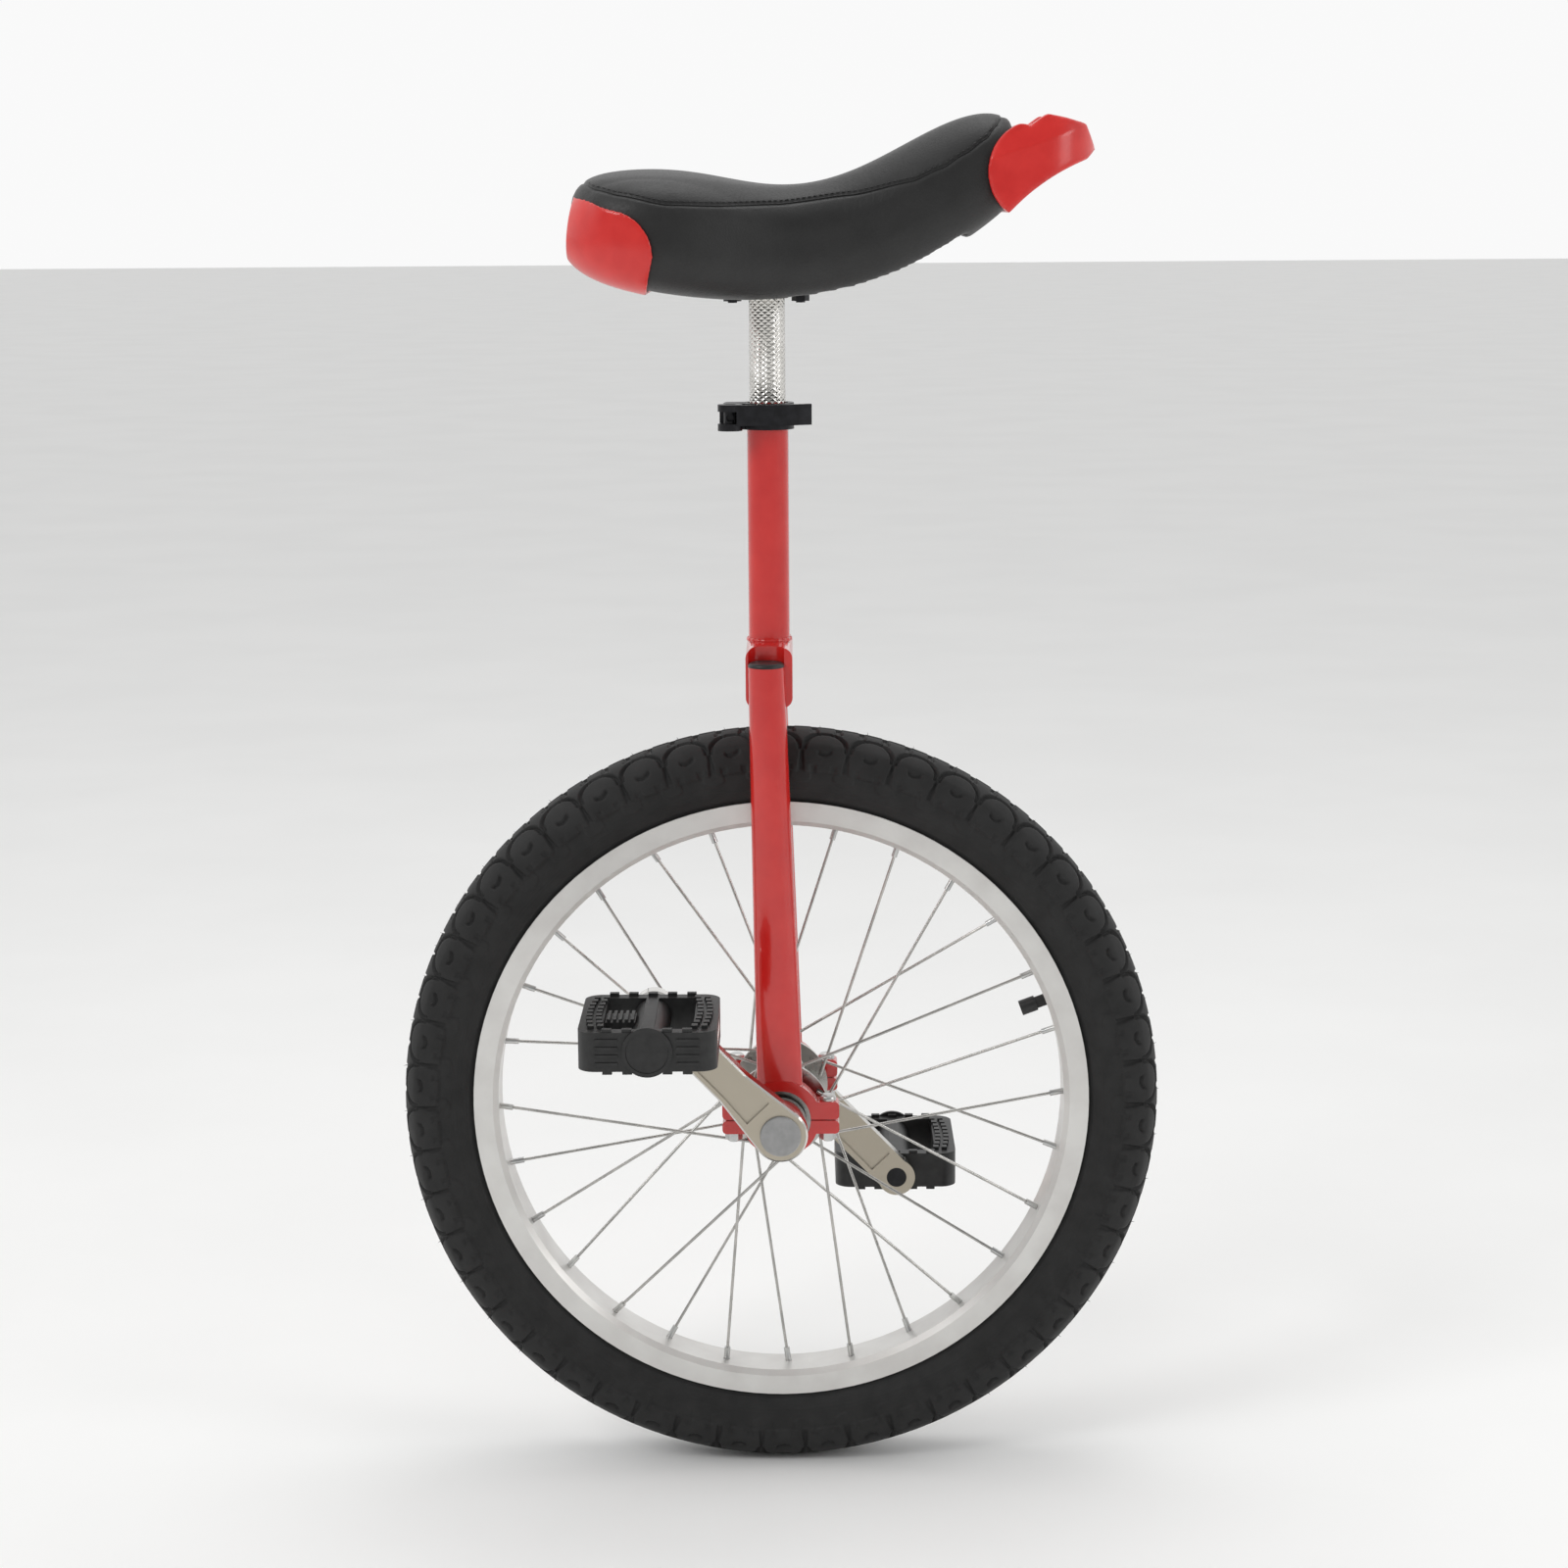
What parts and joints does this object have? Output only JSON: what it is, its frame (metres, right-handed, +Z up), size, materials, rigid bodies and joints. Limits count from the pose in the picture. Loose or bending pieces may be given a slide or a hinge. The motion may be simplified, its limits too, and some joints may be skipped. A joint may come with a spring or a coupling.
{
  "type": "unicycle",
  "caption": "Unicycle with a spoked treaded wheel, fixed cranks and block pedals, a fork frame, a quick-release seat post and a curved padded saddle with bumpers.",
  "frame": {"origin": "on the ground, straight below the middle of the axle, at the bottom centre of the tyre", "axes": "+X forward, +Y to the rider's left along the axle, +Z up"},
  "size_m": [0.514, 0.3808, 0.9139],
  "materials": {
    "painted_steel": "gloss",
    "black_plug": "satin",
    "zinc_steel": "satin",
    "bearing_steel": "polished",
    "seal_rubber": "matte",
    "black_alloy": "satin black",
    "tyre_rubber": "matte",
    "satin_rim": "satin",
    "spoke_steel": "bright",
    "chromed_crank": "bright edges with a satin web",
    "grey_cap": "matte",
    "pedal_plastic": "satin",
    "amber_reflector": "clear amber",
    "knurled_chrome": "bright, knurled",
    "base_plastic": "matte",
    "foam": "open foam",
    "grained_vinyl": "grained",
    "red_plastic": "gloss"
  },
  "bodies": {
    "frame": {"main_tube": "painted_steel", "crown": "painted_steel", "right_leg": "painted_steel", "left_leg": "painted_steel", "leg_plugs": "black_plug", "right_bearing_holder": "painted_steel", "left_bearing_holder": "painted_steel", "right_bearing_cap": "painted_steel", "left_bearing_cap": "painted_steel", "holder_bolts": "zinc_steel", "holder_nuts": "zinc_steel", "bearing_outer_races": "bearing_steel", "bearing_seals": "seal_rubber", "clamp_collar": "black_alloy", "clamp_skewer": "black_alloy", "clamp_nut": "black_plug", "clamp_barrel": "black_alloy"},
    "wheel": {"tyre": "tyre_rubber", "inner_tube": "seal_rubber", "rim_tape": "seal_rubber", "rim": "satin_rim", "spokes": "spoke_steel", "nipples": "zinc_steel", "valve_stem": "seal_rubber", "valve_cap": "black_plug", "hub_shell": "spoke_steel", "axle": "bearing_steel", "bearing_spacers": "zinc_steel", "bearing_inner_races": "bearing_steel", "right_crank": "chromed_crank", "left_crank": "chromed_crank", "crank_bolts": "zinc_steel", "crank_caps": "grey_cap", "pedal_spindles": "bearing_steel", "pedal_nuts": "zinc_steel"},
    "right_pedal": {"right_pedal_body": "pedal_plastic", "right_pedal_bushes": "pedal_plastic", "right_pedal_cap": "pedal_plastic", "right_pedal_reflectors": "amber_reflector"},
    "left_pedal": {"left_pedal_body": "pedal_plastic", "left_pedal_bushes": "pedal_plastic", "left_pedal_cap": "pedal_plastic", "left_pedal_reflectors": "amber_reflector"},
    "right_balls": {"right_bearing_balls": "bearing_steel"},
    "left_balls": {"left_bearing_balls": "bearing_steel"},
    "seat": {"seat_post": "knurled_chrome", "saddle_bolts": "zinc_steel", "saddle_nuts": "zinc_steel", "saddle_base": "base_plastic", "saddle_foam": "foam", "saddle_cover": "grained_vinyl", "rear_bumper": "red_plastic", "front_handle": "red_plastic"},
    "lever": {"clamp_lever": "black_alloy"}
  },
  "joints": [
    {"name": "wheel_spin", "type": "hinge", "parent": "frame", "child": "wheel", "pos_m": [0, 0, 0.257], "axis": [0, 1, 0], "continuous": true},
    {"name": "right_pedal_spin", "type": "hinge", "parent": "wheel", "child": "right_pedal", "pos_m": [-0.0816, -0.14, 0.34224], "axis": [0, 1, 0], "continuous": true},
    {"name": "left_pedal_spin", "type": "hinge", "parent": "wheel", "child": "left_pedal", "pos_m": [0.0816, 0.14, 0.17176], "axis": [0, 1, 0], "continuous": true},
    {"name": "right_balls_roll", "type": "hinge", "parent": "frame", "child": "right_balls", "pos_m": [0, 0, 0.257], "axis": [0, 1, 0], "continuous": true},
    {"name": "left_balls_roll", "type": "hinge", "parent": "frame", "child": "left_balls", "pos_m": [0, 0, 0.257], "axis": [0, 1, 0], "continuous": true},
    {"name": "seat_slide", "type": "slide", "parent": "frame", "child": "seat", "axis": [0, 0, 1], "range_m": [-0.06, 0.05]},
    {"name": "clamp_lever_turn", "type": "hinge", "parent": "frame", "child": "lever", "pos_m": [-0.03, -0.0178, 0.721], "axis": [0, 0, -1], "range_deg": [0, 160]}
  ],
  "couplings": [
    {"joint": "right_balls_roll", "follows": "wheel_spin", "ratio": 0.4316},
    {"joint": "left_balls_roll", "follows": "wheel_spin", "ratio": 0.4316}
  ]
}
